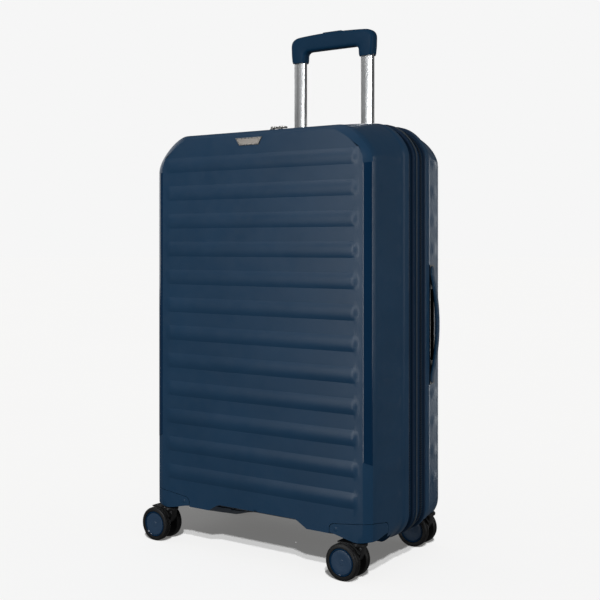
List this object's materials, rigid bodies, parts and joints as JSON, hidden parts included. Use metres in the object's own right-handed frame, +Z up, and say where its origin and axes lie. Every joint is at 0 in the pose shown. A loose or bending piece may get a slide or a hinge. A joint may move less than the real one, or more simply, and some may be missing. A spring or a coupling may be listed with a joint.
{
  "type": "hard shell suitcase on wheels",
  "caption": "Ribbed hard-shell suitcase with zip lid, expansion band, telescoping pull handle, carry handles, lock and twin-wheel casters",
  "frame": {"origin": "middle of the bounding box's footprint, on the floor under the wheels, with the casters trailing to -X and the pull handle part extended", "axes": "+Z up; -Y is the front face of the lid; +X is the side with the carry handle, -X the hinge side"},
  "size_m": [0.498, 0.2774, 0.945],
  "materials": {
    "shell_blue": "satin moulded polypropylene",
    "trim_blue": "gloss",
    "handle_blue": "soft matte",
    "fabric_blue": "woven zip tape",
    "black_plastic": "satin",
    "tyre_black": "matte rubber",
    "cap_blue": "semi-gloss",
    "aluminium": "brushed anodised",
    "gunmetal": "satin plated zinc",
    "steel": "turned",
    "lining": "woven polyester"
  },
  "bodies": {
    "root": {"rear_shell": "shell_blue", "rear_band": "fabric_blue", "expansion_gusset": "fabric_blue", "outer_tube_left": "aluminium", "outer_tube_right": "aluminium", "handle_bezel": "handle_blue", "handle_foot": "black_plastic", "side_handle_base": "black_plastic", "top_handle_base": "black_plastic", "caster_housing_rl": "shell_blue", "caster_housing_rr": "shell_blue"},
    "zip_frame": {"front_band": "fabric_blue", "lock_housing": "black_plastic"},
    "lid": {"front_shell": "shell_blue", "corner_strip_left": "trim_blue", "corner_strip_right": "trim_blue", "badge": "gunmetal", "lid_pocket": "lining", "lid_zip": "fabric_blue", "caster_housing_fl": "shell_blue", "caster_housing_fr": "shell_blue"},
    "handle": {"handle_grip": "handle_blue", "inner_tube_left": "aluminium", "inner_tube_right": "aluminium"},
    "grip_button": {"grip_button": "black_plastic"},
    "lock_button": {"lock_button": "gunmetal"},
    "lock_dial_1": {"lock_dial_1": "gunmetal"},
    "lock_dial_2": {"lock_dial_2": "gunmetal"},
    "lock_dial_3": {"lock_dial_3": "gunmetal"},
    "zip_slider_left": {"zip_slider_left": "gunmetal"},
    "zip_slider_right": {"zip_slider_right": "gunmetal"},
    "zip_pull_left": {"zip_pull_left": "gunmetal"},
    "zip_pull_right": {"zip_pull_right": "gunmetal"},
    "expansion_zip_slider": {"expansion_zip_slider": "gunmetal"},
    "side_handle": {"side_handle": "handle_blue"},
    "top_handle": {"top_handle": "handle_blue"},
    "caster_fl": {"caster_fork_fl": "black_plastic", "caster_axle_fl": "steel"},
    "wheel_fl_front": {"wheel_fl_front": "tyre_black", "hub_cap_fl_front": "cap_blue"},
    "wheel_fl_back": {"wheel_fl_back": "tyre_black", "hub_cap_fl_back": "cap_blue"},
    "caster_fr": {"caster_fork_fr": "black_plastic", "caster_axle_fr": "steel"},
    "wheel_fr_front": {"wheel_fr_front": "tyre_black", "hub_cap_fr_front": "cap_blue"},
    "wheel_fr_back": {"wheel_fr_back": "tyre_black", "hub_cap_fr_back": "cap_blue"},
    "caster_rl": {"caster_fork_rl": "black_plastic", "caster_axle_rl": "steel"},
    "wheel_rl_front": {"wheel_rl_front": "tyre_black", "hub_cap_rl_front": "cap_blue"},
    "wheel_rl_back": {"wheel_rl_back": "tyre_black", "hub_cap_rl_back": "cap_blue"},
    "caster_rr": {"caster_fork_rr": "black_plastic", "caster_axle_rr": "steel"},
    "wheel_rr_front": {"wheel_rr_front": "tyre_black", "hub_cap_rr_front": "cap_blue"},
    "wheel_rr_back": {"wheel_rr_back": "tyre_black", "hub_cap_rr_back": "cap_blue"}
  },
  "joints": [
    {"name": "expansion_slide", "type": "slide", "parent": "root", "child": "zip_frame", "axis": [0, -1, 0], "range_m": [0, 0.04], "deforming": ["expansion_gusset"]},
    {"name": "lid_hinge", "type": "hinge", "parent": "zip_frame", "child": "lid", "pos_m": [-0.22895, 0.0007, 0.395], "axis": [0, 0, -1], "range_deg": [0, 140]},
    {"name": "handle_slide", "type": "slide", "parent": "root", "child": "handle", "axis": [0, 0, 1], "range_m": [-0.187, 0.1]},
    {"name": "grip_button_press", "type": "slide", "parent": "handle", "child": "grip_button", "axis": [0, 0, -1], "range_m": [0, 0.003], "stiffness_N_per_m": 400},
    {"name": "lock_button_press", "type": "slide", "parent": "zip_frame", "child": "lock_button", "axis": [0, 0, -1], "range_m": [0, 0.003], "stiffness_N_per_m": 300},
    {"name": "lock_dial_1_spin", "type": "hinge", "parent": "zip_frame", "child": "lock_dial_1", "pos_m": [-0.02795, 0.0195, 0.7413], "axis": [1, 0, 0], "continuous": true},
    {"name": "lock_dial_2_spin", "type": "hinge", "parent": "zip_frame", "child": "lock_dial_2", "pos_m": [-0.01895, 0.0195, 0.7413], "axis": [1, 0, 0], "continuous": true},
    {"name": "lock_dial_3_spin", "type": "hinge", "parent": "zip_frame", "child": "lock_dial_3", "pos_m": [-0.00995, 0.0195, 0.7413], "axis": [1, 0, 0], "continuous": true},
    {"name": "zip_slide_left", "type": "slide", "parent": "zip_frame", "child": "zip_slider_left", "axis": [-1, 0, 0], "range_m": [0, 0.08]},
    {"name": "zip_pull_left_flip", "type": "hinge", "parent": "zip_slider_left", "child": "zip_pull_left", "pos_m": [-0.05295, 0.0003, 0.7544], "axis": [1, 0, 0], "range_deg": [0, 80]},
    {"name": "zip_slide_right", "type": "slide", "parent": "zip_frame", "child": "zip_slider_right", "axis": [1, 0, 0], "range_m": [0, 0.19]},
    {"name": "zip_pull_right_flip", "type": "hinge", "parent": "zip_slider_right", "child": "zip_pull_right", "pos_m": [-0.03495, 0.0003, 0.7544], "axis": [1, 0, 0], "range_deg": [0, 80]},
    {"name": "expansion_zip_slide", "type": "slide", "parent": "root", "child": "expansion_zip_slider", "axis": [-1, 0, 0], "range_m": [-0.02, 0.1]},
    {"name": "side_handle_lift", "type": "slide", "parent": "root", "child": "side_handle", "axis": [0.9874, 0.158, 0], "range_m": [0, 0.008], "stiffness_N_per_m": 300},
    {"name": "top_handle_lift", "type": "slide", "parent": "root", "child": "top_handle", "axis": [0, 0, 1], "range_m": [0, 0.008], "stiffness_N_per_m": 300},
    {"name": "caster_fl_swivel", "type": "hinge", "parent": "lid", "child": "caster_fl", "pos_m": [-0.19695, -0.1165, 0.062], "axis": [0, 0, 1], "continuous": true},
    {"name": "wheel_fl_front_spin", "type": "hinge", "parent": "caster_fl", "child": "wheel_fl_front", "pos_m": [-0.21895, -0.1165, 0.03], "axis": [0, 1, 0], "continuous": true},
    {"name": "wheel_fl_back_spin", "type": "hinge", "parent": "caster_fl", "child": "wheel_fl_back", "pos_m": [-0.21895, -0.1165, 0.03], "axis": [0, 1, 0], "continuous": true},
    {"name": "caster_fr_swivel", "type": "hinge", "parent": "lid", "child": "caster_fr", "pos_m": [0.20705, -0.1165, 0.062], "axis": [0, 0, 1], "continuous": true},
    {"name": "wheel_fr_front_spin", "type": "hinge", "parent": "caster_fr", "child": "wheel_fr_front", "pos_m": [0.18505, -0.1165, 0.03], "axis": [0, 1, 0], "continuous": true},
    {"name": "wheel_fr_back_spin", "type": "hinge", "parent": "caster_fr", "child": "wheel_fr_back", "pos_m": [0.18505, -0.1165, 0.03], "axis": [0, 1, 0], "continuous": true},
    {"name": "caster_rl_swivel", "type": "hinge", "parent": "root", "child": "caster_rl", "pos_m": [-0.19695, 0.1165, 0.062], "axis": [0, 0, 1], "continuous": true},
    {"name": "wheel_rl_front_spin", "type": "hinge", "parent": "caster_rl", "child": "wheel_rl_front", "pos_m": [-0.21895, 0.1165, 0.03], "axis": [0, 1, 0], "continuous": true},
    {"name": "wheel_rl_back_spin", "type": "hinge", "parent": "caster_rl", "child": "wheel_rl_back", "pos_m": [-0.21895, 0.1165, 0.03], "axis": [0, 1, 0], "continuous": true},
    {"name": "caster_rr_swivel", "type": "hinge", "parent": "root", "child": "caster_rr", "pos_m": [0.20705, 0.1165, 0.062], "axis": [0, 0, 1], "continuous": true},
    {"name": "wheel_rr_front_spin", "type": "hinge", "parent": "caster_rr", "child": "wheel_rr_front", "pos_m": [0.18505, 0.1165, 0.03], "axis": [0, 1, 0], "continuous": true},
    {"name": "wheel_rr_back_spin", "type": "hinge", "parent": "caster_rr", "child": "wheel_rr_back", "pos_m": [0.18505, 0.1165, 0.03], "axis": [0, 1, 0], "continuous": true}
  ]
}
